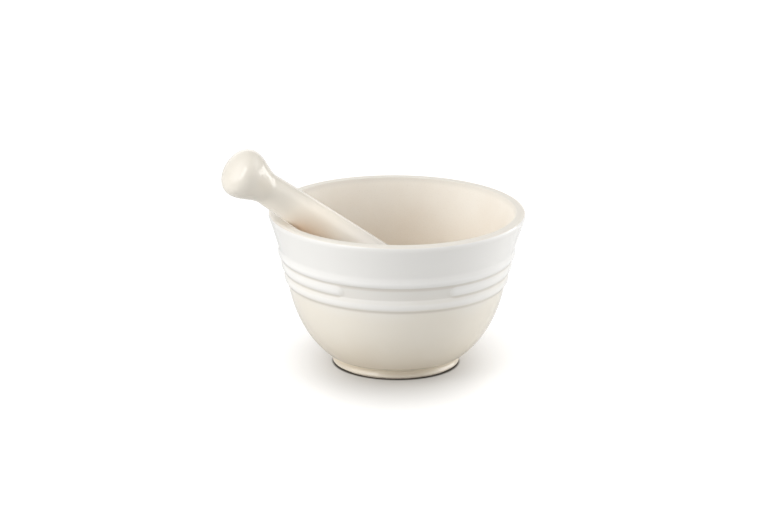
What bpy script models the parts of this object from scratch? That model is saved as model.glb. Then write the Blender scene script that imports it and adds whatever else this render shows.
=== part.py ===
"""Mortar and pestle: a ribbed stoneware bowl and a stoneware pestle that leans in it.

Units are metres, +Z is up, and the object stands on Z = 0. The origin is the bottom
centre of the box around both pieces. The pestle's knob overhangs the rim on the -X
side, so the bowl's own axis stands a little to the +X side of the origin.
"""

import math

import bmesh
import bpy
from mathutils import Vector

MM = 0.001

# Driving dimensions of the bowl.
BOWL_AXIS_X = 13.3 * MM          # from the origin to the bowl's axis
RIM_RADIUS = 75.0 * MM           # outermost, just below the lip
BOWL_HEIGHT = 92.5 * MM
LIP_OUTER_ROUND = 1.9 * MM
LIP_INNER_ROUND = 0.9 * MM
LAND_WIDTH = 2.8 * MM            # flat ground face on top of the rim
WALL_FLARE = 0.36                # outward run per height just below the lip
INSIDE_DEPTH = 82.0 * MM         # from the lip down to the inside bottom
FOOT_RADIUS = 37.3 * MM
FOOT_EDGE_ROUND = 1.2 * MM
WAIST_RADIUS = 36.5 * MM
WAIST_HEIGHT = 4.6 * MM          # where the body meets the foot
FOOT_RING_WIDTH = 4.5 * MM       # flat face that the bowl stands on
RECESS_RADIUS = 29.0 * MM
RECESS_DEPTH = 2.0 * MM
RECESS_SLOPE = 1.5 * MM          # run of the recess's sloping side

# The round body below turns into the flared wall above at this radius and height.
WALL_JOIN = (62.0 * MM, 41.7 * MM)
WALL_JOIN_FLARE = 0.28

# How far each end of the wall's curves keeps its own direction.
SHOULDER = (41.2 * MM, 7.75 * MM)     # where the soft waist has turned into the round body
SHOULDER_RISE = 39.7               # degrees above level
WAIST_REACH = 2.0 * MM
SHOULDER_REACH = (2.5 * MM, 8.8 * MM)
BODY_REACH = 19.1 * MM
WALL_REACH = 5.2 * MM
LIP_REACH = 22.5 * MM
INSIDE_REACH = (15.0 * MM, 48.0 * MM)
INSIDE_FLAT = 56.0 * MM          # radius that the flat of the inside bottom reaches for

# Three ribs round the wall, one below another.
RIB_COUNT = 3
RIB_TOP = 72.1 * MM              # height where the highest rib starts
RIB_PITCH = 7.5 * MM
RIB_PROUD = 1.2 * MM             # how far a rib's crest stands off the wall
RIB_CREST = 0.64                 # the crest's place, as a share of the pitch from the top
RIB_STATIONS = (0.97, 0.86, RIB_CREST, 0.36, 0.14)   # a rib's points, groove to top

# The plain panel that interrupts the middle rib at the front.
PANEL_HALF_ANGLE = math.radians(28.5)
PANEL_END_FADE = math.radians(3.5)
FRONT = math.radians(-90.0)

# Driving dimensions of the pestle, from the knob's crown to the head's end.
PESTLE_LENGTH = 181.0 * MM
KNOB_RADIUS = 14.6 * MM
KNOB_CROWN = 9.0 * MM            # the knob's widest place below its crown
CROWN_FLATNESS = 2.4             # 2 is a plain dome, and more is flatter
NECK_RADIUS = 9.3 * MM
NECK_AT = 28.0 * MM
SHAFT_RADIUS = 10.9 * MM         # where the shaft swells into the head
SHAFT_END_AT = 122.0 * MM
HEAD_RADIUS = 18.0 * MM
HEAD_LENGTH = 15.0 * MM          # from the head's widest place to its end

# The pestle's lean: it rests on the rim's inner edge and on the inside of the bowl.
LEAN_AZIMUTH = math.radians(204.0)
LEAN_TILT = math.radians(35.85)   # above the horizontal
HEAD_REACH = 29.3 * MM           # head's widest place from the bowl's axis
HEAD_LIFT = 33.0 * MM            # and above the ground

# Spacing of points on the plain wall above the ribs.
WALL_STEP = 4.6 * MM
PLAIN_WALL_START = 0.5 * MM

BOWL_SEGMENTS = 64
PESTLE_SEGMENTS = 32


def clear_scene():
    """Remove every object that the scene holds."""
    for item in list(bpy.data.objects):
        bpy.data.objects.remove(item, do_unlink=True)


def arc(centre, radius, start_deg, end_deg, steps):
    """Points (r, z) on an arc, both ends included."""
    points = []
    for i in range(steps + 1):
        angle = math.radians(start_deg + (end_deg - start_deg) * i / steps)
        points.append((centre[0] + radius * math.cos(angle), centre[1] + radius * math.sin(angle)))
    return points


def bezier(p0, p1, p2, p3, t):
    """A point (r, z) of a cubic curve at t from 0 to 1."""
    s = 1.0 - t
    weights = (s ** 3, 3 * s * s * t, 3 * s * t * t, t ** 3)
    r = sum(w * p[0] for w, p in zip(weights, (p0, p1, p2, p3)))
    z = sum(w * p[1] for w, p in zip(weights, (p0, p1, p2, p3)))
    return r, z


def smooth(x):
    """A smooth step from 0 to 1 as x goes from 0 to 1."""
    x = min(max(x, 0.0), 1.0)
    return x * x * (3.0 - 2.0 * x)


def rib_height(share):
    """A rib's height at a share of its pitch, 0 at its top and 1 at the groove below."""
    if share < RIB_CREST:
        return RIB_PROUD * math.sin(0.5 * math.pi * share / RIB_CREST)
    return RIB_PROUD * math.cos(0.5 * math.pi * (share - RIB_CREST) / (1.0 - RIB_CREST))


def upper_wall(t):
    """The flared wall from the join (t = 0) up to the lip (t = 1), without its ribs."""
    top = (RIM_RADIUS + 0.3 * MM, BOWL_HEIGHT - LIP_OUTER_ROUND)
    return bezier(
        WALL_JOIN,
        (WALL_JOIN[0] + WALL_JOIN_FLARE * WALL_REACH, WALL_JOIN[1] + WALL_REACH),
        (top[0] - WALL_FLARE * LIP_REACH, top[1] - LIP_REACH),
        top,
        t,
    )


def shoulder_handle(reach):
    """A point on the shoulder's tangent, at a distance above (or below) the shoulder."""
    rise = math.radians(SHOULDER_RISE)
    return (SHOULDER[0] + reach * math.cos(rise), SHOULDER[1] + reach * math.sin(rise))


def waist_curve(t):
    """The hollow waist, from its narrowest place (t = 0) out to the shoulder (t = 1)."""
    return bezier(
        (WAIST_RADIUS, WAIST_HEIGHT),
        (WAIST_RADIUS, WAIST_HEIGHT + WAIST_REACH),
        shoulder_handle(-SHOULDER_REACH[0]),
        SHOULDER,
        t,
    )


def lower_wall(t):
    """The round body from the shoulder (t = 0) up to the join (t = 1)."""
    return bezier(
        SHOULDER,
        shoulder_handle(SHOULDER_REACH[1]),
        (WALL_JOIN[0] - WALL_JOIN_FLARE * BODY_REACH, WALL_JOIN[1] - BODY_REACH),
        WALL_JOIN,
        t,
    )


def wall_radius(z):
    """The flared wall's plain radius at a height, found by halving."""
    low, high = 0.0, 1.0
    for _ in range(40):
        middle = 0.5 * (low + high)
        if upper_wall(middle)[1] < z:
            low = middle
        else:
            high = middle
    return upper_wall(low)[0]


def inside_wall(t):
    """The inside from the lip (t = 0) to the centre of the bottom (t = 1)."""
    mouth = RIM_RADIUS - LIP_OUTER_ROUND - LAND_WIDTH - LIP_INNER_ROUND
    start = (mouth, BOWL_HEIGHT - LIP_INNER_ROUND)
    bottom = BOWL_HEIGHT - INSIDE_DEPTH
    below = (start[0] - INSIDE_REACH[0], start[1] - INSIDE_REACH[1])
    return bezier(start, below, (INSIDE_FLAT, bottom), (0.0, bottom), t)


def bowl_outline():
    """The bowl's section (r, z): bottom centre of the recess, out, up, over the lip, in and down."""
    ring_inside = RECESS_RADIUS + RECESS_SLOPE
    points = [(0.0, RECESS_DEPTH), (RECESS_RADIUS, RECESS_DEPTH)]
    points += [(ring_inside, 0.0), (ring_inside + FOOT_RING_WIDTH, 0.0)]
    points += arc((FOOT_RADIUS - FOOT_EDGE_ROUND, FOOT_EDGE_ROUND), FOOT_EDGE_ROUND, -70.0, 10.0, 3)
    points += [waist_curve(i / 4) for i in range(4)]
    points += [lower_wall(i / 10) for i in range(11)]

    for rib in reversed(range(RIB_COUNT)):
        for share in RIB_STATIONS:
            z = RIB_TOP - (rib + share) * RIB_PITCH
            points.append((wall_radius(z) + rib_height(share), z))
    z = RIB_TOP + PLAIN_WALL_START
    while z < BOWL_HEIGHT - WALL_STEP:
        points.append((wall_radius(z), z))
        z += WALL_STEP

    lip_centre = (RIM_RADIUS - LIP_OUTER_ROUND, BOWL_HEIGHT - LIP_OUTER_ROUND)
    points += arc(lip_centre, LIP_OUTER_ROUND, -15.0, 90.0, 5)
    inner_centre = (lip_centre[0] - LAND_WIDTH, BOWL_HEIGHT - LIP_INNER_ROUND)
    points += arc(inner_centre, LIP_INNER_ROUND, 90.0, 155.0, 3)
    points += [inside_wall(i / 14) for i in range(1, 15)]
    return points


def pestle_radius(s):
    """The pestle's radius at a distance s from the knob's crown."""
    head_at = PESTLE_LENGTH - HEAD_LENGTH
    if s < KNOB_CROWN:
        return KNOB_RADIUS * math.sqrt(1.0 - (1.0 - s / KNOB_CROWN) ** CROWN_FLATNESS)
    if s < NECK_AT:
        return KNOB_RADIUS + (NECK_RADIUS - KNOB_RADIUS) * smooth((s - KNOB_CROWN) / (NECK_AT - KNOB_CROWN))
    if s < SHAFT_END_AT:
        return NECK_RADIUS + (SHAFT_RADIUS - NECK_RADIUS) * (s - NECK_AT) / (SHAFT_END_AT - NECK_AT)
    if s < head_at:
        return SHAFT_RADIUS + (HEAD_RADIUS - SHAFT_RADIUS) * smooth((s - SHAFT_END_AT) / (head_at - SHAFT_END_AT))
    share = min((s - head_at) / HEAD_LENGTH, 1.0)
    return HEAD_RADIUS * math.sqrt(1.0 - share * share)


def pestle_outline():
    """The pestle's section (r, z) with its head's widest place at z = 0 and its knob up."""
    head_at = PESTLE_LENGTH - HEAD_LENGTH
    stations = [KNOB_CROWN * (1.0 - math.cos(math.radians(a))) for a in range(0, 90, 18)]
    stations += [KNOB_CROWN + (NECK_AT - KNOB_CROWN) * i / 7 for i in range(8)]
    stations += [NECK_AT + (SHAFT_END_AT - NECK_AT) * i / 3 for i in range(1, 4)]
    stations += [SHAFT_END_AT + (head_at - SHAFT_END_AT) * i / 6 for i in range(1, 7)]
    stations += [head_at + HEAD_LENGTH * math.sin(math.radians(a)) for a in range(15, 91, 15)]
    return [(pestle_radius(s), head_at - s) for s in stations]


def turn(name, outline, segments):
    """Turn a section about Z into one closed body."""
    mesh = bpy.data.meshes.new(name)
    bm = bmesh.new()
    verts = [bm.verts.new((max(r, 0.0), 0.0, z)) for r, z in outline]
    edges = [bm.edges.new((a, b)) for a, b in zip(verts, verts[1:])]
    bmesh.ops.spin(
        bm,
        geom=verts + edges,
        cent=(0.0, 0.0, 0.0),
        axis=(0.0, 0.0, 1.0),
        angle=math.tau,
        steps=segments,
        use_merge=True,
    )
    bmesh.ops.remove_doubles(bm, verts=bm.verts, dist=0.01 * MM)
    bmesh.ops.recalc_face_normals(bm, faces=bm.faces)
    bm.to_mesh(mesh)
    bm.free()
    mesh.shade_smooth()
    mesh.set_sharp_from_angle(angle=math.radians(40.0))
    item = bpy.data.objects.new(name, mesh)
    bpy.context.collection.objects.link(item)
    return item


def press_panel(item):
    """Flatten the middle rib over the plain panel at the front of the bowl."""
    top = RIB_TOP - RIB_PITCH
    bottom = top - RIB_PITCH
    for vert in item.data.vertices:
        radius = math.hypot(vert.co.x, vert.co.y)
        z = vert.co.z
        if not bottom < z < top or radius < wall_radius(z):
            continue
        off_front = abs((math.atan2(vert.co.y, vert.co.x) - FRONT + math.pi) % math.tau - math.pi)
        kept = smooth((off_front - PANEL_HALF_ANGLE) / PANEL_END_FADE + 0.5)
        pressed = wall_radius(z) + (radius - wall_radius(z)) * kept
        vert.co.x *= pressed / radius
        vert.co.y *= pressed / radius


def glaze(name, colour, roughness):
    """A plain ceramic material."""
    material = bpy.data.materials.new(name)
    material.use_nodes = True
    shader = material.node_tree.nodes["Principled BSDF"]
    shader.inputs["Base Color"].default_value = (*colour, 1.0)
    shader.inputs["Roughness"].default_value = roughness
    shader.inputs["Metallic"].default_value = 0.0
    return material


def build_mortar():
    """The bowl, standing upright on its foot ring."""
    item = turn("mortar", bowl_outline(), BOWL_SEGMENTS)
    press_panel(item)
    item.location = (BOWL_AXIS_X, 0.0, 0.0)
    item.data.materials.append(glaze("cream_glaze", (0.80, 0.77, 0.71), 0.15))
    return item


def build_pestle():
    """The pestle, leaning on the rim with its head on the inside of the bowl."""
    item = turn("pestle", pestle_outline(), PESTLE_SEGMENTS)
    knob_way = Vector((
        math.cos(LEAN_TILT) * math.cos(LEAN_AZIMUTH),
        math.cos(LEAN_TILT) * math.sin(LEAN_AZIMUTH),
        math.sin(LEAN_TILT),
    ))
    item.rotation_mode = "QUATERNION"
    item.rotation_quaternion = knob_way.to_track_quat("Z", "Y")
    item.location = Vector((
        BOWL_AXIS_X - HEAD_REACH * math.cos(LEAN_AZIMUTH),
        -HEAD_REACH * math.sin(LEAN_AZIMUTH),
        HEAD_LIFT,
    ))
    item.data.materials.append(glaze("pestle_glaze", (0.82, 0.79, 0.73), 0.15))
    return item


def main():
    """Build both pieces."""
    clear_scene()
    build_mortar()
    build_pestle()


main()
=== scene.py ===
"""Mortar and pestle: the looks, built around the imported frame.

The bowl and the pestle are each turned from one section, as a potter would throw them,
and dressed in two finishes: a gloss cream glaze, whiter towards the rim, and bare
sand-coloured stoneware where the glaze stops. Lengths are metres.
"""

import logging
import math
from collections.abc import Callable
from dataclasses import dataclass, field, replace
from enum import Enum

import bpy
from mathutils import Matrix, Vector


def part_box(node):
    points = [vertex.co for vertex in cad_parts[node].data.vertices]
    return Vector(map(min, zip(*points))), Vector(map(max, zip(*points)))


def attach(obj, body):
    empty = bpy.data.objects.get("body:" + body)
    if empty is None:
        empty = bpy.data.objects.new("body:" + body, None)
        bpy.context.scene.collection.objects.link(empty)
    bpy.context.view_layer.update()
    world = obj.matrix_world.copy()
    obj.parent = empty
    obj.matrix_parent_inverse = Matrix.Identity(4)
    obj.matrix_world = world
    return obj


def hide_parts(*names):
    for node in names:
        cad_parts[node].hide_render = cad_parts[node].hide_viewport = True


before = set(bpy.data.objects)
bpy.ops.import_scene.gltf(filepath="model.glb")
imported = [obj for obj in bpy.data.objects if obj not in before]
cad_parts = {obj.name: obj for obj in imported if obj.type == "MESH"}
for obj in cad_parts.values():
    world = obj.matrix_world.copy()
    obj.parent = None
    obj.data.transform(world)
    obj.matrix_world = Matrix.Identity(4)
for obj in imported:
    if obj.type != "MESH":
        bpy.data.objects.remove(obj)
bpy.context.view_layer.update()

LOG = logging.getLogger("mortar_and_pestle")
MM = 0.001
MIX_FIRST = 6
MIX_SECOND = 7
MIX_RESULT = 2
LEAN_CONTACT = Vector((-65.0 * MM, -27.0 * MM, 87.0 * MM))
LIT_BY_CLAY = Vector((-54.0 * MM, -38.0 * MM, 80.0 * MM))

Point = tuple[float, float]
Colour = tuple[float, float, float]
Node = bpy.types.Node
Socket = bpy.types.NodeSocket
Tree = bpy.types.NodeTree
Piece = bpy.types.Object


class Coat(Enum):
    """What covers a stretch of a piece's surface. The value is its material slot."""

    GLAZED = 0
    BARE = 1


# --------------------------------------------------------------------------- #
# Curves
# --------------------------------------------------------------------------- #


def arc(centre: Point, radius: float, start: float, end: float, steps: int) -> list[Point]:
    """Work out points on an arc.

    Args:
        centre: The arc's centre (r, z).
        radius: Its radius.
        start: The angle where it starts, in degrees from the +r direction.
        end: The angle where it ends, in degrees.
        steps: How many equal steps it is cut into.

    Returns:
        The points (r, z), both ends included.
    """
    points = []
    for i in range(steps + 1):
        angle = math.radians(start + (end - start) * i / steps)
        points.append((centre[0] + radius * math.cos(angle), centre[1] + radius * math.sin(angle)))
    return points


def bezier(p0: Point, p1: Point, p2: Point, p3: Point, t: float) -> Point:
    """Work out a point of a cubic curve.

    Args:
        p0: The start.
        p1: The start's handle.
        p2: The end's handle.
        p3: The end.
        t: The place along the curve, from 0 to 1.

    Returns:
        The point (r, z).
    """
    s = 1.0 - t
    weights = (s ** 3, 3 * s * s * t, 3 * s * t * t, t ** 3)
    corners = (p0, p1, p2, p3)
    return (
        sum(w * p[0] for w, p in zip(weights, corners)),
        sum(w * p[1] for w, p in zip(weights, corners)),
    )


def smooth(x: float) -> float:
    """Return a smooth step from 0 to 1 as x goes from 0 to 1."""
    x = min(max(x, 0.0), 1.0)
    return x * x * (3.0 - 2.0 * x)


# --------------------------------------------------------------------------- #
# Node helpers
# --------------------------------------------------------------------------- #


class Graph:
    """A node tree that is being wired, for a material or for a group."""

    def __init__(self, tree: Tree) -> None:
        """Keep the tree that the nodes go into."""
        self.tree = tree

    def add(self, kind: str, **settings: object) -> Node:
        """Add a node.

        Args:
            kind: The node's type, such as "ShaderNodeMath".
            **settings: Properties to set on it.

        Returns:
            The new node.
        """
        node = self.tree.nodes.new(kind)
        for name, value in settings.items():
            setattr(node, name, value)
        return node

    def feed(self, socket: Socket, source: object) -> None:
        """Link a socket to a source, or set its plain value.

        Args:
            socket: The input socket.
            source: A socket to link from, or a number or a tuple to set.
        """
        if isinstance(source, bpy.types.NodeSocket):
            self.tree.links.new(source, socket)
        else:
            socket.default_value = source

    def math(self, operation: str, a: object, b: object = 0.0) -> Socket:
        """Add a Math node and return its result.

        Args:
            operation: The operation's name, such as "MULTIPLY".
            a: The first value or socket.
            b: The second value or socket.

        Returns:
            The result's socket.
        """
        node = self.add("ShaderNodeMath", operation=operation)
        self.feed(node.inputs[0], a)
        self.feed(node.inputs[1], b)
        return node.outputs[0]

    def mix(self, share: object, a: object, b: object) -> Socket:
        """Mix two colours and return the result.

        Args:
            share: How much of b shows, from 0 to 1.
            a: The first colour or socket.
            b: The second colour or socket.

        Returns:
            The mixed colour's socket.
        """
        node = self.add("ShaderNodeMix", data_type="RGBA", clamp_factor=True)
        self.feed(node.inputs["Factor"], share)
        self.feed(node.inputs[MIX_FIRST], a)
        self.feed(node.inputs[MIX_SECOND], b)
        return node.outputs[MIX_RESULT]

    def ramp(self, value: Socket, low: float, high: float) -> Socket:
        """Stretch a value so that low becomes 0 and high becomes 1, smoothly.

        Args:
            value: The value's socket.
            low: The value that becomes 0.
            high: The value that becomes 1.

        Returns:
            The stretched value's socket.
        """
        node = self.add("ShaderNodeMapRange", interpolation_type="SMOOTHSTEP")
        self.feed(node.inputs["Value"], value)
        node.inputs["From Min"].default_value = low
        node.inputs["From Max"].default_value = high
        return node.outputs["Result"]

    def noise(self, place: Socket, scale: float, detail: float = 2.0, rough: float = 0.5) -> Socket:
        """Add a noise texture and return its value.

        Args:
            place: The coordinates' socket.
            scale: Blobs per metre.
            detail: Octaves.
            rough: How strong the fine octaves are.

        Returns:
            The noise's value socket.
        """
        node = self.add("ShaderNodeTexNoise")
        self.feed(node.inputs["Vector"], place)
        self.feed(node.inputs["Scale"], scale)
        node.inputs["Detail"].default_value = detail
        node.inputs["Roughness"].default_value = rough
        return node.outputs["Fac"]


class EffectGroups:
    """The shader node groups that more than one finish uses, each built once."""

    def __init__(self) -> None:
        """Build every group."""
        self.cloudiness = self._cloudiness()
        self.speckle = self._speckle()
        self.relief = self._relief()

    @staticmethod
    def _open(name: str, inputs: dict[str, float], outputs: list[str]) -> tuple[Graph, Node, Node]:
        """Start a group whose inputs and outputs are all numbers, with a place to read.

        Args:
            name: The group's name.
            inputs: Each number input's name and its usual value.
            outputs: The outputs' names.

        Returns:
            The graph, its input node and its output node.
        """
        tree = bpy.data.node_groups.new(name, "ShaderNodeTree")
        tree.interface.new_socket(name="Place", in_out="INPUT", socket_type="NodeSocketVector")
        for label, value in inputs.items():
            socket = tree.interface.new_socket(name=label, in_out="INPUT", socket_type="NodeSocketFloat")
            socket.default_value = value
        for label in outputs:
            tree.interface.new_socket(name=label, in_out="OUTPUT", socket_type="NodeSocketFloat")
        graph = Graph(tree)
        return graph, graph.add("NodeGroupInput"), graph.add("NodeGroupOutput")

    def _cloudiness(self) -> Tree:
        """Build a slow, soft change over the surface, as a hand-dipped glaze has."""
        graph, start, end = self._open("cloudiness", {"Blobs": 30.0, "Ripples": 400.0}, ["Cloud", "Ripple"])
        cloud = graph.noise(start.outputs["Place"], start.outputs["Blobs"], 3.0)
        ripple = graph.noise(start.outputs["Place"], start.outputs["Ripples"], 2.0)
        graph.feed(end.inputs["Cloud"], graph.ramp(cloud, 0.3, 0.7))
        graph.feed(end.inputs["Ripple"], ripple)
        return graph.tree

    def _speckle(self) -> Tree:
        """Build clay grain: even fine grit, and scattered specks that are darker or lighter."""
        graph, start, end = self._open(
            "speckle", {"Grit": 2600.0, "Specks": 1300.0, "Share": 0.3}, ["Grit", "Dark", "Light"]
        )
        place = start.outputs["Place"]
        grit = graph.noise(place, start.outputs["Grit"], 3.0, 0.7)
        cells = graph.add("ShaderNodeTexVoronoi", feature="F1")
        graph.feed(cells.inputs["Vector"], place)
        graph.feed(cells.inputs["Scale"], start.outputs["Specks"])
        parts = graph.add("ShaderNodeSeparateColor")
        graph.feed(parts.inputs[0], cells.outputs["Color"])
        near = graph.ramp(cells.outputs["Distance"], 0.42, 0.12)
        darkness = graph.math("LESS_THAN", parts.outputs[0], start.outputs["Share"])
        lightness = graph.math("LESS_THAN", parts.outputs[1], start.outputs["Share"])
        graph.feed(end.inputs["Grit"], grit)
        graph.feed(end.inputs["Dark"], graph.math("MULTIPLY", near, darkness))
        graph.feed(end.inputs["Light"], graph.math("MULTIPLY", near, lightness))
        return graph.tree

    def _relief(self) -> Tree:
        """Build masks from the relief attribute: 1 on a crest and -1 in a groove."""
        graph, _, end = self._open("relief", {}, ["Crest", "Groove"])
        height = graph.add("ShaderNodeAttribute", attribute_type="GEOMETRY", attribute_name="relief")
        value = height.outputs["Fac"]
        # The crest mask also carries the foot band's painted light; the glaze paints a highlight on crests
        # and shade in grooves.
        graph.feed(end.inputs["Crest"], graph.ramp(value, 0.15, 1.0))
        graph.feed(end.inputs["Groove"], graph.ramp(value, -0.1, -1.0))
        return graph.tree


# --------------------------------------------------------------------------- #
# Finishes
# --------------------------------------------------------------------------- #


@dataclass(frozen=True)
class Glaze:
    """A gloss glaze that is whiter at the top and creamier below.

    On the bowl that change is the glaze's own ombre, with painted bounce and shade making it
    darker and warmer towards the foot; on the pestle the tones along its height are painted
    light. A crest is lighter, where the glaze runs thinner and a highlight is painted, and the
    foot band is lighter with painted light; a groove is darker and warmer, where the glaze
    pools and shade is painted. A painted warm bounce tints the place that warm light from
    bare clay falls on.
    """

    name: str
    white: Colour = (0.862, 0.85, 0.82)
    cream: Colour = (0.84, 0.79, 0.695)
    # On the bowl, deep_cream is partly the glaze's own ombre and partly painted bounce and shade near the
    # foot.
    deep_cream: Colour = (0.74, 0.65, 0.51)
    # Groove colour: glaze that pools in the grooves, with painted shade there.
    pooled_and_shaded: Colour = (0.62, 0.57, 0.49)
    # Crest colour: the glaze running thinner on crests, with a painted highlight there; on the foot band,
    # painted light.
    thin_glaze_and_highlight: Colour = (0.90, 0.89, 0.868)
    deep_below: float = 0.0
    cream_at: float = 42.0 * MM
    white_above: float = 70.0 * MM
    # Painted warm bounce: light reflected from bare clay, painted on.
    painted_bounce: Colour = (0.91, 0.75, 0.60)
    painted_bounce_at: Vector = field(default_factory=Vector)
    painted_bounce_reach: float = 0.0
    level_drift: float = 6.0 * MM
    crest_share: float = 0.6
    groove_share: float = 0.58
    roughness: float = 0.11
    dulling: float = 0.03
    ripple_height: float = 0.012 * MM
    ior: float = 1.52

    def build(self, groups: EffectGroups) -> bpy.types.Material:
        """Make the material.

        Args:
            groups: The shared effects.

        Returns:
            The glaze.
        """
        material = bpy.data.materials.new(self.name)
        material.use_nodes = True
        graph = Graph(material.node_tree)
        shader = graph.tree.nodes["Principled BSDF"]
        place = graph.add("ShaderNodeTexCoord").outputs["Object"]

        height = graph.add("ShaderNodeSeparateXYZ")
        graph.feed(height.inputs[0], place)
        cloud = graph.add("ShaderNodeGroup", node_tree=groups.cloudiness)
        graph.feed(cloud.inputs["Place"], place)
        relief = graph.add("ShaderNodeGroup", node_tree=groups.relief)

        drift = graph.math("MULTIPLY", cloud.outputs["Cloud"], self.level_drift)
        level = graph.math("ADD", height.outputs["Z"], drift)
        # Colour by height: on the bowl the glaze's own ombre, with painted bounce and shade near the foot;
        # on the pestle, painted light.
        creaminess = graph.ramp(level, self.deep_below, self.cream_at)
        colour = graph.mix(creaminess, (*self.deep_cream, 1.0), (*self.cream, 1.0))
        whiteness = graph.ramp(level, self.cream_at, self.white_above)
        colour = graph.mix(whiteness, colour, (*self.white, 1.0))
        # Painted highlight on crests, where the glaze also runs thinner, and painted light on the foot
        # band.
        crest = graph.math("MULTIPLY", relief.outputs["Crest"], self.crest_share)
        colour = graph.mix(crest, colour, (*self.thin_glaze_and_highlight, 1.0))
        # Painted warm bounce from the bare clay.
        if self.painted_bounce_reach > 0.0:
            away = graph.add("ShaderNodeVectorMath", operation="DISTANCE")
            graph.feed(away.inputs[0], place)
            away.inputs[1].default_value = self.painted_bounce_at
            tinted = graph.ramp(away.outputs["Value"], self.painted_bounce_reach, 0.0)
            colour = graph.mix(tinted, colour, (*self.painted_bounce, 1.0))
        # Painted shade in grooves, where the glaze also pools.
        groove = graph.math("MULTIPLY", relief.outputs["Groove"], self.groove_share)
        colour = graph.mix(groove, colour, (*self.pooled_and_shaded, 1.0))
        graph.feed(shader.inputs["Base Color"], colour)

        dulling = graph.math("MULTIPLY", cloud.outputs["Cloud"], self.dulling)
        graph.feed(shader.inputs["Roughness"], graph.math("ADD", dulling, self.roughness))
        bump = graph.add("ShaderNodeBump")
        bump.inputs["Distance"].default_value = self.ripple_height
        graph.feed(bump.inputs["Height"], cloud.outputs["Ripple"])
        graph.feed(shader.inputs["Normal"], bump.outputs["Normal"])
        shader.inputs["IOR"].default_value = self.ior
        return material


# The pestle's tones along its height are painted light: a darker, warmer knob for the shade on it, a warm
# shaft for bounce from the bowl's bare clay, and a paler, cooler end inside the bowl.
PESTLE_GLAZE = Glaze(
    "pestle_glaze",
    white=(0.81, 0.762, 0.675),
    cream=(0.96, 0.895, 0.785),
    deep_cream=(0.87, 0.85, 0.82),
    deep_below=66.0 * MM,
    cream_at=104.0 * MM,
    white_above=117.0 * MM,
    painted_bounce_reach=28.0 * MM,
)


@dataclass(frozen=True)
class BareClay:
    """Unglazed fired stoneware: matt, sand-coloured, with fine grit.

    Deep in the bowl it is darker and warmer, painted bounce and shade, and where the pestle
    leans it takes a painted warm bounce and shade. The land is the rim's flat top.
    """

    name: str
    sand: Colour = (0.92, 0.88, 0.805)
    # Darker, warmer clay deep in the bowl: painted bounce and shade.
    warm: Colour = (0.785, 0.69, 0.57)
    warm_below: float = 35.0 * MM
    sand_above: float = 95.0 * MM
    dark_speck: Colour = (0.66, 0.57, 0.47)
    light_speck: Colour = (0.88, 0.845, 0.785)
    land: Colour = (0.80, 0.76, 0.69)
    # Painted warm bounce and shade in the crevice where the pestle leans on the rim.
    painted_bounce: Colour = (0.55, 0.35, 0.20)
    painted_bounce_at: Vector = field(default_factory=Vector)
    painted_bounce_reach: float = 40.0 * MM
    level_drift: float = 12.0 * MM
    land_share: float = 0.9
    grit_share: float = 0.25
    dark_share: float = 0.22
    light_share: float = 0.3
    roughness: float = 0.78
    wear: float = 0.08
    grit_height: float = 0.08 * MM

    def build(self, groups: EffectGroups) -> bpy.types.Material:
        """Make the material.

        Args:
            groups: The shared effects.

        Returns:
            The bare clay.
        """
        material = bpy.data.materials.new(self.name)
        material.use_nodes = True
        graph = Graph(material.node_tree)
        shader = graph.tree.nodes["Principled BSDF"]
        place = graph.add("ShaderNodeTexCoord").outputs["Object"]
        cloud = graph.add("ShaderNodeGroup", node_tree=groups.cloudiness)
        graph.feed(cloud.inputs["Place"], place)
        speckle = graph.add("ShaderNodeGroup", node_tree=groups.speckle)
        graph.feed(speckle.inputs["Place"], place)

        height = graph.add("ShaderNodeSeparateXYZ")
        graph.feed(height.inputs[0], place)
        drift = graph.math("MULTIPLY", cloud.outputs["Cloud"], self.level_drift)
        level = graph.math("SUBTRACT", height.outputs["Z"], drift)
        # Painted bounce and shade: darker and warmer deep in the bowl.
        paleness = graph.ramp(level, self.warm_below, self.sand_above)
        colour = graph.mix(paleness, (*self.warm, 1.0), (*self.sand, 1.0))
        relief = graph.add("ShaderNodeGroup", node_tree=groups.relief)
        # Painted warm bounce and shade near where the pestle leans, kept off the land.
        away = graph.add("ShaderNodeVectorMath", operation="DISTANCE")
        graph.feed(away.inputs[0], place)
        away.inputs[1].default_value = self.painted_bounce_at
        bounce_near_pestle = graph.ramp(away.outputs["Value"], self.painted_bounce_reach, 0.0)
        bounce_near_pestle = graph.math("MULTIPLY", bounce_near_pestle, graph.math("SUBTRACT", 1.0, relief.outputs["Groove"]))
        colour = graph.mix(bounce_near_pestle, colour, (*self.painted_bounce, 1.0))
        on_land = graph.math("MULTIPLY", relief.outputs["Groove"], self.land_share)
        colour = graph.mix(on_land, colour, (*self.land, 1.0))
        grit = graph.ramp(speckle.outputs["Grit"], 0.35, 0.65)
        colour = graph.mix(graph.math("MULTIPLY", grit, self.grit_share), colour, (*self.light_speck, 1.0))
        dark = graph.math("MULTIPLY", speckle.outputs["Dark"], self.dark_share)
        colour = graph.mix(dark, colour, (*self.dark_speck, 1.0))
        light = graph.math("MULTIPLY", speckle.outputs["Light"], self.light_share)
        colour = graph.mix(light, colour, (*self.light_speck, 1.0))
        graph.feed(shader.inputs["Base Color"], colour)

        worn = graph.math("MULTIPLY", cloud.outputs["Cloud"], self.wear)
        graph.feed(shader.inputs["Roughness"], graph.math("ADD", worn, self.roughness))
        bump = graph.add("ShaderNodeBump")
        bump.inputs["Distance"].default_value = self.grit_height
        graph.feed(bump.inputs["Height"], speckle.outputs["Grit"])
        graph.feed(shader.inputs["Normal"], bump.outputs["Normal"])
        return material


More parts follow.
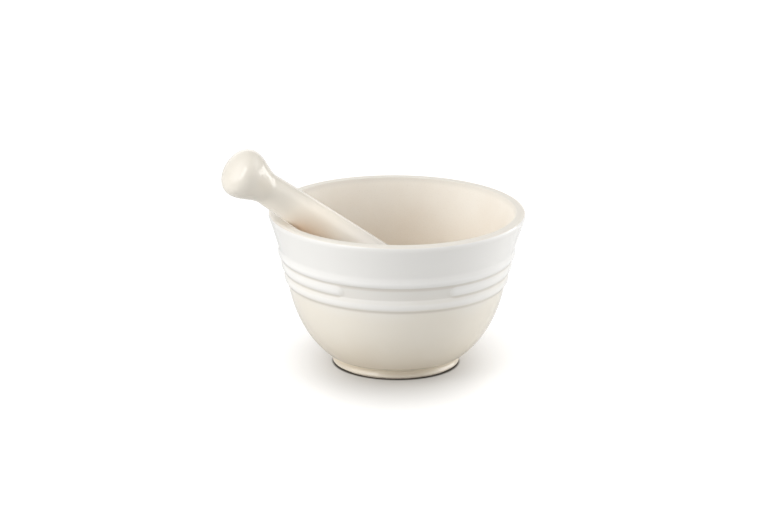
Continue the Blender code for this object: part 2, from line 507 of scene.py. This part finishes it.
@dataclass(frozen=True)
class PaleFloor:
    """A matt white sheet, lit from below except where the object stands.

    The glow that the camera sees is weaker round the foot, a painted soft shadow, and a
    dark ring at the foot's edge is a painted shadow where it meets the floor. The camera
    sees it brighter than it is, as in an overexposed white studio. Two pools at its sides,
    which the camera doesn't see, light the object's flanks from below.
    """

    centre: Vector
    name: str = "pale_floor"
    bounce: Colour = (0.7, 0.7, 0.7)
    shown: Colour = (0.50, 0.487, 0.467)
    # Painted shadow: a dark ring round the foot's edge, seen by the camera.
    painted_contact_shadow: Colour = (0.10, 0.09, 0.08)
    contact_from: float = 36.6 * MM
    contact_to: float = 38.4 * MM
    glow_near: float = 0.13
    glow_far: float = 0.66
    shade_from: float = 20.0 * MM
    shade_to: float = 78.0 * MM
    shade_reach: float = 1.6
    left_pool: float = 0.06
    right_pool: float = 0.14
    left_pool_edge: float = math.radians(-38.0)
    left_pool_blur: float = 0.03
    right_pool_edge: float = math.radians(55.0)
    right_pool_blur: float = 0.25
    pool_from: float = 40.0 * MM
    pool_to: float = 70.0 * MM
    roughness: float = 0.95
    specular: float = 0.1

    def build(self) -> bpy.types.Material:
        """Make the material."""
        material = bpy.data.materials.new(self.name)
        material.use_nodes = True
        graph = Graph(material.node_tree)
        shader = graph.tree.nodes["Principled BSDF"]
        place = graph.add("ShaderNodeTexCoord").outputs["Object"]
        away = graph.add("ShaderNodeVectorMath", operation="SUBTRACT")
        graph.feed(away.inputs[0], place)
        away.inputs[1].default_value = self.centre
        drawn_in = graph.add("ShaderNodeVectorMath", operation="MULTIPLY")
        graph.feed(drawn_in.inputs[0], away.outputs["Vector"])
        drawn_in.inputs[1].default_value = (1.0, 1.0 / self.shade_reach, 1.0)
        distance = graph.add("ShaderNodeVectorMath", operation="LENGTH")
        graph.feed(distance.inputs[0], drawn_in.outputs["Vector"])

        round_about = graph.add("ShaderNodeVectorMath", operation="LENGTH")
        graph.feed(round_about.inputs[0], away.outputs["Vector"])
        # Painted shadow ring at the foot's edge.
        clear = graph.ramp(round_about.outputs["Value"], self.contact_from, self.contact_to)

        seen = graph.add("ShaderNodeLightPath").outputs["Is Camera Ray"]
        shown = graph.mix(clear, (*self.painted_contact_shadow, 1.0), (*self.shown, 1.0))
        graph.feed(shader.inputs["Base Color"], graph.mix(seen, (*self.bounce, 1.0), shown))

        # Painted soft shadow: the glow the camera sees is weaker round the foot.
        open_floor = graph.ramp(distance.outputs["Value"], self.shade_from, self.shade_to)
        glow = graph.math("MULTIPLY", open_floor, self.glow_far - self.glow_near)
        glow = graph.math("MULTIPLY", graph.math("ADD", glow, self.glow_near), clear)
        glow = graph.math("MULTIPLY", glow, seen)

        parts = graph.add("ShaderNodeSeparateXYZ")
        graph.feed(parts.inputs[0], away.outputs["Vector"])
        toward = graph.math("MULTIPLY", parts.outputs["Y"], -1.0)
        turned = graph.math("ARCTAN2", parts.outputs["X"], toward)
        edge, blur = self.left_pool_edge, self.left_pool_blur
        left = graph.math("MULTIPLY", graph.ramp(turned, edge + blur, edge - blur), self.left_pool)
        edge, blur = self.right_pool_edge, self.right_pool_blur
        right = graph.math("MULTIPLY", graph.ramp(turned, edge - blur, edge + blur), self.right_pool)
        beyond_foot = graph.ramp(round_about.outputs["Value"], self.pool_from, self.pool_to)
        pools = graph.math("MULTIPLY", graph.math("ADD", left, right), beyond_foot)
        pools = graph.math("MULTIPLY", pools, graph.math("SUBTRACT", 1.0, seen))
        graph.feed(shader.inputs["Emission Strength"], graph.math("ADD", glow, pools))
        shader.inputs["Emission Color"].default_value = (1.0, 1.0, 1.0, 1.0)
        shader.inputs["Roughness"].default_value = self.roughness
        shader.inputs["Specular IOR Level"].default_value = self.specular
        return material


# --------------------------------------------------------------------------- #
# Turned pieces
# --------------------------------------------------------------------------- #


def deselect_all() -> None:
    """Leave no object selected, and none in edit mode."""
    if bpy.context.object is not None and bpy.context.object.mode != "OBJECT":
        bpy.ops.object.mode_set(mode="OBJECT")
    bpy.ops.object.select_all(action="DESELECT")


def turn(name: str, section: list[Point], segments: int) -> Piece:
    """Turn a section about the Z axis into one closed, smooth body.

    One point is extruded along the section, and the line is spun.

    Args:
        name: The piece's name.
        section: Points (r, z), from axis to axis.
        segments: How many steps a full turn has.

    Returns:
        The piece, standing on the origin.
    """
    deselect_all()
    start = section[0]
    bpy.ops.mesh.primitive_plane_add(size=1.0 * MM, location=(start[0], 0.0, start[1]))
    piece = bpy.context.object
    piece.name = name
    piece.data.name = name
    bpy.ops.object.transform_apply(location=True, rotation=False, scale=False)
    bpy.ops.object.mode_set(mode="EDIT")
    bpy.ops.mesh.select_all(action="SELECT")
    bpy.ops.mesh.merge(type="CENTER")
    for a, b in zip(section, section[1:]):
        step = (b[0] - a[0], 0.0, b[1] - a[1])
        bpy.ops.mesh.extrude_region_move(TRANSFORM_OT_translate={"value": step})
    bpy.ops.mesh.select_all(action="SELECT")
    bpy.ops.mesh.spin(steps=segments, angle=math.tau, center=(0.0, 0.0, 0.0), axis=(0.0, 0.0, 1.0))
    bpy.ops.mesh.select_all(action="SELECT")
    bpy.ops.mesh.remove_doubles(threshold=0.004 * MM)
    bpy.ops.mesh.normals_make_consistent(inside=False)
    bpy.ops.object.mode_set(mode="OBJECT")
    bpy.ops.object.shade_smooth()
    return piece


@dataclass
class Mortar:
    """The bowl: flared wall with three ribs, a flat rim, a bare inside and a small foot."""

    glaze: Glaze
    clay: BareClay
    rim_radius: float = 75.2 * MM
    height: float = 92.5 * MM
    lip_outer_round: float = 1.9 * MM
    lip_inner_round: float = 0.9 * MM
    land_width: float = 2.8 * MM
    glaze_stop: float = 0.9 * MM
    wall_flare: float = 0.36
    wall_reach: float = 5.2 * MM
    lip_reach: float = 22.5 * MM
    lip_overshoot: float = 0.3 * MM
    inside_depth: float = 82.0 * MM
    inside_handle: Point = (15.0 * MM, 48.0 * MM)
    inside_floor_reach: float = 56.0 * MM
    foot_radius: float = 37.3 * MM
    foot_edge_round: float = 0.9 * MM
    foot_lift: float = 1.0 * MM
    foot_ring_width: float = 4.5 * MM
    recess_radius: float = 29.0 * MM
    recess_depth: float = 2.0 * MM
    recess_slope: float = 1.5 * MM
    recess_round: float = 0.8 * MM
    ring_round: float = 0.6 * MM
    ring_chamfer: float = 0.25 * MM
    waist_radius: float = 36.5 * MM
    waist_height: float = 4.5 * MM
    waist_hollow: float = 1.5 * MM
    foot_hollow: Point = (0.45 * MM, 1.1 * MM)
    shoulder: Point = (41.2 * MM, 7.75 * MM)
    shoulder_rise: float = math.radians(39.7)
    shoulder_reach: float = 8.8 * MM
    body_reach: float = 19.1 * MM
    wall_join: Point = (62.0 * MM, 41.7 * MM)
    wall_join_flare: float = 0.28
    rib_count: int = 3
    rib_top: float = 72.1 * MM
    rib_pitch: float = 7.5 * MM
    rib_proud: float = 1.2 * MM
    rib_crest: float = 0.64
    rib_blur: float = 0.45 * MM
    groove_mark_width: float = 1.0 * MM
    panel_mark: float = 0.45
    # Painted light on the foot band, where its flare faces up.
    foot_painted_light: float = 0.5
    panel_half_angle: float = math.radians(29.5)
    panel_end_fade: float = math.radians(3.0)
    segments: int = 288
    wall_steps: int = 40
    steps_per_rib: int = 22
    centre: Vector = field(default_factory=Vector)

    def upper_wall(self, t: float) -> Point:
        """Return the plain flared wall's point at t, 0 at the join and 1 at the lip."""
        top = (self.rim_radius + self.lip_overshoot, self.height - self.lip_outer_round)
        join, reach, lip_reach = self.wall_join, self.wall_reach, self.lip_reach
        return bezier(
            join,
            (join[0] + self.wall_join_flare * reach, join[1] + reach),
            (top[0] - self.wall_flare * lip_reach, top[1] - lip_reach),
            top,
            t,
        )

    def shoulder_handle(self, reach: float) -> Point:
        """Return a point on the shoulder's tangent, at a distance above (or below) it."""
        rise = self.shoulder_rise
        return (self.shoulder[0] + reach * math.cos(rise), self.shoulder[1] + reach * math.sin(rise))

    def waist_curve(self, t: float) -> Point:
        """Return the hollow waist's point at t, 0 at its narrowest and 1 at the shoulder."""
        waist = (self.waist_radius, self.waist_height)
        above = (waist[0], waist[1] + self.waist_hollow)
        return bezier(waist, above, self.shoulder_handle(-self.waist_hollow), self.shoulder, t)

    def lower_wall(self, t: float) -> Point:
        """Return the round body's point at t, 0 at the shoulder and 1 at the join."""
        join, reach = self.wall_join, self.body_reach
        return bezier(
            self.shoulder,
            self.shoulder_handle(self.shoulder_reach),
            (join[0] - self.wall_join_flare * reach, join[1] - reach),
            join,
            t,
        )

    def wall_radius(self, z: float) -> float:
        """Return the plain flared wall's radius at a height, found by halving."""
        low, high = 0.0, 1.0
        for _ in range(40):
            middle = 0.5 * (low + high)
            if self.upper_wall(middle)[1] < z:
                low = middle
            else:
                high = middle
        return self.upper_wall(low)[0]

    def rib_height(self, z: float) -> float:
        """Return how far the ribs stand off the plain wall at a height."""
        down = (self.rib_top - z) / self.rib_pitch
        if not 0.0 < down < self.rib_count:
            return 0.0
        share = down % 1.0
        if share < self.rib_crest:
            rise = math.sin(0.5 * math.pi * share / self.rib_crest)
            if down < 1.0:
                rise = smooth(share / self.rib_crest)
            return self.rib_proud * rise
        fall = (share - self.rib_crest) / (1.0 - self.rib_crest)
        return self.rib_proud * math.cos(0.5 * math.pi * fall)

    def soft_rib_height(self, z: float) -> float:
        """Return the rib height averaged over a little of the wall, so that grooves are round."""
        weights = (1.0, 2.0, 3.0, 2.0, 1.0)
        total = 0.0
        for i, weight in enumerate(weights):
            total += weight * self.rib_height(z + self.rib_blur * (i - 2) / 2)
        return total / sum(weights)

    def foot_section(self) -> list[Point]:
        """Return the section from the axis, over the recess and the bare ring, to the waist."""
        ring_inside = self.recess_radius + self.recess_slope
        ring_outside = ring_inside + self.foot_ring_width
        points = [(0.0, self.recess_depth)]
        points += [(self.recess_radius * i / 6, self.recess_depth) for i in range(1, 6)]
        corner = (self.recess_radius - self.recess_round, self.recess_depth - self.recess_round)
        points += arc(corner, self.recess_round, 90.0, 38.0, 4)
        points += arc((ring_inside + self.ring_round, self.ring_round), self.ring_round, 218.0, 270.0, 4)
        points += [(ring_inside + self.foot_ring_width * i / 4, 0.0) for i in range(1, 5)]
        chamfer = ring_outside + self.ring_chamfer
        points += [(chamfer, self.ring_chamfer), (chamfer, self.foot_lift)]
        edge = (self.foot_radius - self.foot_edge_round, self.foot_lift + self.foot_edge_round)
        points += arc(edge, self.foot_edge_round, -90.0, 20.0, 10)
        flare = points[-1]
        waist = (self.waist_radius, self.waist_height)
        above_flare = (flare[0] - self.foot_hollow[0], flare[1] + self.foot_hollow[1])
        below_waist = (waist[0], waist[1] - self.foot_hollow[1])
        points += [bezier(flare, above_flare, below_waist, waist, i / 8) for i in range(1, 8)]
        return points

    def wall_section(self) -> list[Point]:
        """Return the outside's section, from the waist over the ribs to the lip."""
        points = [self.waist_curve(i / 10) for i in range(10)]
        points += [self.lower_wall(i / self.wall_steps) for i in range(self.wall_steps)]
        ribs_end = self.rib_top - self.rib_count * self.rib_pitch
        z = self.wall_join[1]
        while z < ribs_end - 0.6 * MM:
            points.append((self.wall_radius(z), z))
            z += 1.2 * MM
        z = ribs_end - 0.5 * MM
        while z < self.rib_top + 0.6 * MM:
            points.append((self.wall_radius(z) + self.soft_rib_height(z), z))
            z += self.rib_pitch / self.steps_per_rib
        while z < self.height - self.lip_outer_round - 0.6 * MM:
            points.append((self.wall_radius(z), z))
            z += 1.2 * MM
        return points

    def inside_section(self) -> list[Point]:
        """Return the section from the lip, over the flat land, down the inside to the axis."""
        lip = (self.rim_radius - self.lip_outer_round, self.height - self.lip_outer_round)
        inner = (lip[0] - self.land_width, self.height - self.lip_inner_round)
        points = arc(lip, self.lip_outer_round, -12.0, 90.0, 14)
        points += [(lip[0] - self.land_width * i / 4, self.height) for i in range(1, 4)]
        points += arc(inner, self.lip_inner_round, 90.0, 162.0, 8)
        mouth = (inner[0] - self.lip_inner_round, inner[1])
        below = (mouth[0] - self.inside_handle[0], mouth[1] - self.inside_handle[1])
        bottom = self.height - self.inside_depth
        beside_axis = (self.inside_floor_reach, bottom)
        for i in range(1, self.wall_steps + 1):
            points.append(bezier(mouth, below, beside_axis, (0.0, bottom), i / self.wall_steps))
        return points

    def section(self) -> list[Point]:
        """Return the bowl's whole section, from axis to axis."""
        return self.foot_section() + self.wall_section() + self.inside_section()

    @staticmethod
    def off_front(vert: bpy.types.MeshVertex) -> float:
        """Return the angle between a point and the front, seen from above."""
        return abs((math.atan2(vert.co.y, vert.co.x) + 1.5 * math.pi) % math.tau - math.pi)

    def press_panel(self, piece: Piece) -> None:
        """Flatten the middle rib over the plain panel at the front.

        Args:
            piece: The turned bowl, still standing on the origin.
        """
        top = self.rib_top - self.rib_pitch
        bottom = top - self.rib_pitch
        for vert in piece.data.vertices:
            radius = math.hypot(vert.co.x, vert.co.y)
            z = vert.co.z
            if not bottom < z < top or radius < self.wall_radius(z) - 1.0 * MM:
                continue
            round_end = math.sqrt(max(0.0, 1.0 - ((z - bottom) / self.rib_pitch * 2.0 - 1.0) ** 2))
            start = self.panel_half_angle - self.panel_end_fade * round_end
            kept = smooth((self.off_front(vert) - start) / self.panel_end_fade)
            wanted = self.wall_radius(z) + (radius - self.wall_radius(z)) * kept
            vert.co.x *= wanted / radius
            vert.co.y *= wanted / radius

    def beside_panel(self, vert: bpy.types.MeshVertex) -> float:
        """Return 0 on the plain panel and 1 well to its side."""
        return smooth((self.off_front(vert) - self.panel_half_angle) / self.panel_end_fade + 0.5)

    def mark_relief(self, piece: Piece) -> None:
        """Store 1 on rib crests, -1 in grooves and 0 on plain wall, for the finishes.

        The land is marked -1 as well, which only the bare clay there reads. The foot band is
        marked up, for painted light where its flare faces up, and the plain panel is marked
        down, so it takes some of the groove colour. The glaze paints a highlight on crests and
        shade in grooves.

        Args:
            piece: The turned bowl, still standing on the origin.
        """
        relief = piece.data.attributes.new("relief", "FLOAT", "POINT")
        ribs_end = self.rib_top - self.rib_count * self.rib_pitch
        for vert in piece.data.vertices:
            radius = math.hypot(vert.co.x, vert.co.y)
            z = vert.co.z
            # The foot band's painted light.
            value = self.painted_foot_light(radius, z)
            if z > self.height - self.lip_inner_round:
                value = -1.0
            among_ribs = ribs_end - 1.0 * MM < z < self.rib_top + 1.0 * MM
            if among_ribs and radius > self.wall_radius(z) - 1.0 * MM:
                proud = (radius - self.wall_radius(z)) / self.rib_proud
                nearest = round((self.rib_top - z) / self.rib_pitch)
                off_groove = abs(self.rib_top - nearest * self.rib_pitch - z)
                value = smooth(proud * 1.6 - 0.6)
                if nearest > 0:
                    # Groove mark, for the glaze that pools there and for the painted shade.
                    pooled_and_shaded = math.exp(-((off_groove / self.groove_mark_width) ** 2))
                    value -= pooled_and_shaded * (self.beside_panel(vert) if nearest == 2 else 1.0)
                if self.rib_top - 2.0 * self.rib_pitch < z < self.rib_top - self.rib_pitch:
                    value -= self.panel_mark * (1.0 - self.beside_panel(vert))
            relief.data[vert.index].value = value

    def painted_foot_light(self, radius: float, z: float) -> float:
        """Return the foot band's painted light, lighter where the foot's flare faces up."""
        if radius <= self.foot_radius - 3.0 * MM:
            return 0.0
        return self.foot_painted_light * smooth((self.waist_height - z) / (2.0 * MM))

    def coat_of(self, radius: float, z: float) -> Coat:
        """Return what covers the bowl at a place, from its radius and height."""
        if z > self.height - self.glaze_stop:
            return Coat.BARE
        if z < self.waist_height and radius > self.recess_radius + 0.4 * MM:
            return Coat.BARE if z < self.foot_lift + 0.01 * MM else Coat.GLAZED
        if z > self.waist_height and radius < self.inside_radius(z) + 1.0 * MM:
            return Coat.BARE
        return Coat.GLAZED

    def inside_radius(self, z: float) -> float:
        """Return a radius between the inside and the outside of the wall at a height."""
        if z < self.wall_join[1]:
            share = (z - self.waist_height) / (self.wall_join[1] - self.waist_height)
            widening = (self.wall_join[0] - self.waist_radius) * math.sqrt(max(share, 0.0))
            return self.waist_radius - 6.0 * MM + widening
        return self.wall_radius(z) - 4.0 * MM

    def build(self, groups: EffectGroups) -> Piece:
        """Build and dress the bowl.

        Args:
            groups: The shared effects.

        Returns:
            The finished bowl.
        """
        piece = turn("mortar_bowl", self.section(), self.segments)
        self.press_panel(piece)
        self.mark_relief(piece)
        dress(piece, [self.glaze.build(groups), self.clay.build(groups)], self.coat_of)
        place(piece, Matrix.Translation(self.centre))
        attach(piece, "mortar_body")
        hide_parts("mortar")
        return piece


@dataclass
class Pestle:
    """The pestle: door-knob end, slim swelling shaft and a bare rounded grinding head."""

    glaze: Glaze
    clay: BareClay
    length: float = 181.9 * MM
    knob_radius: float = 14.7 * MM
    knob_crown: float = 9.8 * MM
    crown_flatness: float = 2.25
    neck_radius: float = 9.3 * MM
    neck_at: float = 29.0 * MM
    shaft_radius: float = 11.0 * MM
    shaft_end_at: float = 123.0 * MM
    shaft_swell: float = 0.65
    head_radius: float = 18.0 * MM
    head_length: float = 15.0 * MM
    glaze_stop_at: float = 135.0 * MM
    lean_azimuth: float = math.radians(204.0)
    lean_tilt: float = math.radians(36.2)
    head_reach: float = 29.3 * MM
    head_lift: float = 33.0 * MM
    segments: int = 160
    dome_steps: int = 24
    shaft_step: float = 1.0 * MM
    bowl_centre: Vector = field(default_factory=Vector)

    @property
    def head_at(self) -> float:
        """Return how far from the knob's crown the head is widest."""
        return self.length - self.head_length

    def radius(self, s: float) -> float:
        """Return the pestle's radius at a distance s from the knob's crown."""
        if s < self.knob_crown:
            share = 1.0 - s / self.knob_crown
            return self.knob_radius * math.sqrt(1.0 - share ** self.crown_flatness)
        if s < self.neck_at:
            share = (s - self.knob_crown) / (self.neck_at - self.knob_crown)
            return self.knob_radius + (self.neck_radius - self.knob_radius) * smooth(share)
        if s < self.shaft_end_at:
            share = (s - self.neck_at) / (self.shaft_end_at - self.neck_at)
            return self.neck_radius + (self.shaft_radius - self.neck_radius) * share ** self.shaft_swell
        if s < self.head_at:
            share = (s - self.shaft_end_at) / (self.head_at - self.shaft_end_at)
            return self.shaft_radius + (self.head_radius - self.shaft_radius) * smooth(share)
        share = min((s - self.head_at) / self.head_length, 1.0)
        return self.head_radius * math.sqrt(1.0 - share * share)

    def section(self) -> list[Point]:
        """Return the section from the knob's crown to the head's end, head's widest at 0."""
        turns = [0.5 * math.pi * i / self.dome_steps for i in range(self.dome_steps + 1)]
        stations = [self.knob_crown * (1.0 - math.cos(turn_by)) for turn_by in turns[:-1]]
        s = self.knob_crown
        while s < self.head_at:
            stations.append(s)
            s += self.shaft_step
        stations += [self.head_at + self.head_length * math.sin(turn_by) for turn_by in turns]
        return [(self.radius(s), self.head_at - s) for s in stations]

    def coat_of(self, radius: float, z: float) -> Coat:
        """Return what covers the pestle at a place, before it leans."""
        return Coat.BARE if self.head_at - z > self.glaze_stop_at else Coat.GLAZED

    def lean(self) -> Matrix:
        """Return the turn and shift that lay the pestle on the rim."""
        away = Vector((math.cos(self.lean_azimuth), math.sin(self.lean_azimuth), 0.0))
        knob_way = away * math.cos(self.lean_tilt) + Vector((0.0, 0.0, math.sin(self.lean_tilt)))
        head = self.bowl_centre - away * self.head_reach + Vector((0.0, 0.0, self.head_lift))
        return Matrix.Translation(head) @ knob_way.to_track_quat("Z", "Y").to_matrix().to_4x4()

    def build(self, groups: EffectGroups) -> Piece:
        """Build and dress the pestle.

        Args:
            groups: The shared effects.

        Returns:
            The finished pestle.
        """
        piece = turn("pestle_body", self.section(), self.segments)
        piece.data.attributes.new("relief", "FLOAT", "POINT")
        dress(piece, [self.glaze.build(groups), self.clay.build(groups)], self.coat_of)
        place(piece, self.lean())
        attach(piece, "pestle_body")
        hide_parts("pestle")
        return piece


def dress(
    piece: Piece, materials: list[bpy.types.Material], coat_of: Callable[[float, float], Coat]
) -> None:
    """Give a turned piece its materials, face by face.

    Args:
        piece: The piece, still standing on the origin.
        materials: The glaze and the bare clay, in the order of Coat.
        coat_of: A function from a radius and a height to a Coat.
    """
    for material in materials:
        piece.data.materials.append(material)
    for face in piece.data.polygons:
        radius = math.hypot(face.center.x, face.center.y)
        face.material_index = coat_of(radius, face.center.z).value


def place(piece: Piece, where: Matrix) -> None:
    """Move a piece to its place, and keep the place in its mesh.

    Args:
        piece: The piece, standing on the origin.
        where: The turn and shift.
    """
    deselect_all()
    piece.select_set(True)
    bpy.context.view_layer.objects.active = piece
    piece.matrix_world = where
    bpy.ops.object.transform_apply(location=True, rotation=True, scale=True)


# --------------------------------------------------------------------------- #
# Studio
# --------------------------------------------------------------------------- #


@dataclass(frozen=True)
class Panel:
    """A soft studio light: a square lit from inside."""

    name: str
    azimuth: float
    elevation: float
    distance: float
    width: float
    height: float
    power: float

    def build(self, aim: Vector) -> None:
        """Hang the light, facing the object.

        Args:
            aim: The point that it faces.
        """
        a, e = math.radians(self.azimuth), math.radians(self.elevation)
        way = Vector((math.cos(a) * math.cos(e), math.sin(a) * math.cos(e), math.sin(e)))
        light = bpy.data.lights.new(self.name, "AREA")
        light.shape = "RECTANGLE"
        light.size = self.width
        light.size_y = self.height
        light.energy = self.power
        holder = bpy.data.objects.new(self.name, light)
        bpy.context.scene.collection.objects.link(holder)
        holder.location = aim + way * self.distance
        holder.rotation_euler = way.to_track_quat("Z", "Y").to_euler()


@dataclass(frozen=True)
class Glow:
    """A soft bright place in the white tent around the object."""

    azimuth: float
    elevation: float
    strength: float
    sharpness: float = 9.0

    def build(self, graph: Graph, direction: Socket) -> Socket:
        """Work out the glow's share of the light from a direction.

        Args:
            graph: The surround's graph.
            direction: The direction's socket.

        Returns:
            The share's socket.
        """
        a, e = math.radians(self.azimuth), math.radians(self.elevation)
        dot = graph.add("ShaderNodeVectorMath", operation="DOT_PRODUCT")
        graph.feed(dot.inputs[0], direction)
        dot.inputs[1].default_value = (math.cos(a) * math.cos(e), math.sin(a) * math.cos(e), math.sin(e))
        off = graph.math("MULTIPLY", graph.math("SUBTRACT", dot.outputs["Value"], 1.0), self.sharpness)
        return graph.math("MULTIPLY", graph.math("EXPONENT", off), self.strength)


@dataclass(frozen=True)
class Studio:
    """A white floor, a softly lit white tent, two soft panels and the camera."""

    centre: Vector
    floor_size: float = 12.0
    sensor_width: float = 36.0
    camera_elevation: float = 17.37
    camera_distance: float = 3.2
    camera_roll: float = 0.4
    view_width: float = 450.2 * MM
    aim_height: float = 45.0 * MM
    frame_right: float = -8.3 * MM
    frame_up: float = 19.1 * MM
    glows: tuple[Glow, ...] = (
        Glow(206.0, 12.0, 2.6),
        Glow(225.0, 45.0, 0.65),
        Glow(-22.0, 10.0, 0.45),
        Glow(180.0, 45.0, 1.15),
        Glow(-5.0, 8.0, 1.1),
        Glow(0.0, 50.0, 1.8),
        Glow(90.0, 12.0, 1.5),
        Glow(120.0, 12.0, 0.5),
    )
    panels: tuple[Panel, ...] = (
        Panel("left_panel", 229.0, 35.0, 1.0, 0.33, 0.8, 2.4),
        Panel("right_panel", 14.0, 7.5, 0.9, 0.85, 0.3, 2.8),
    )

    def build(self) -> None:
        """Set up everything around the object."""
        self.build_floor()
        self.build_surround()
        aim = self.centre + Vector((0.0, 0.0, self.aim_height))
        for panel in self.panels:
            panel.build(aim)
        self.build_camera(aim)
        bpy.context.scene.view_settings.view_transform = "Standard"

    def build_floor(self) -> None:
        """Lay the floor under the object."""
        deselect_all()
        bpy.ops.mesh.primitive_plane_add(size=self.floor_size, location=(0.0, 0.0, 0.0))
        floor = bpy.context.object
        floor.name = "floor"
        floor.data.materials.append(PaleFloor(self.centre).build())

    def build_surround(self) -> None:
        """Light the tent by its glows, and keep the backdrop white to the eye."""
        world = bpy.data.worlds.new("surround")
        bpy.context.scene.world = world
        world.use_nodes = True
        graph = Graph(world.node_tree)
        graph.tree.nodes.clear()
        direction = graph.add("ShaderNodeTexCoord").outputs["Generated"]
        total = graph.add("ShaderNodeLightPath").outputs["Is Camera Ray"]
        for glow in self.glows:
            total = graph.math("ADD", total, glow.build(graph, direction))
        background = graph.add("ShaderNodeBackground")
        graph.feed(background.inputs["Strength"], total)
        background.inputs["Color"].default_value = (1.0, 1.0, 1.0, 1.0)
        output = graph.add("ShaderNodeOutputWorld")
        graph.feed(output.inputs["Surface"], background.outputs[0])

    def build_camera(self, aim: Vector) -> None:
        """Put the camera in front, a little above, with a long lens.

        Args:
            aim: The middle of the bowl.
        """
        e = math.radians(self.camera_elevation)
        back = Vector((0.0, -math.cos(e), math.sin(e)))
        up = Vector((0.0, math.sin(e), math.cos(e)))
        spot = aim + back * self.camera_distance
        target = aim + Vector((self.frame_right, 0.0, 0.0)) + up * self.frame_up
        data = bpy.data.cameras.new("camera")
        data.sensor_width = self.sensor_width
        data.lens = data.sensor_width * self.camera_distance / self.view_width
        data.clip_end = 50.0
        holder = bpy.data.objects.new("camera", data)
        bpy.context.scene.collection.objects.link(holder)
        turn_to = (spot - target).to_track_quat("Z", "Y").to_matrix().to_4x4()
        roll = Matrix.Rotation(math.radians(self.camera_roll), 4, "Z")
        holder.matrix_world = Matrix.Translation(spot) @ turn_to @ roll
        bpy.context.scene.camera = holder


def main() -> None:
    logging.basicConfig(level=logging.INFO, format="%(name)s: %(message)s")
    low, high = (Vector(corner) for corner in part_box("mortar"))
    centre = Vector((0.5 * (low.x + high.x), 0.5 * (low.y + high.y), low.z))
    groups = EffectGroups()

    clay = BareClay("bowl_clay", painted_bounce_at=centre + LEAN_CONTACT)
    mortar = Mortar(Glaze("bowl_glaze"), clay, centre=centre).build(groups)
    LOG.info("%s: %d faces", mortar.name, len(mortar.data.polygons))
    glaze = replace(PESTLE_GLAZE, painted_bounce_at=centre + LIT_BY_CLAY)
    pestle = Pestle(glaze, BareClay("pestle_clay"), bowl_centre=centre).build(groups)
    LOG.info("%s: %d faces", pestle.name, len(pestle.data.polygons))
    Studio(centre).build()


if __name__ == "__main__":
    main()
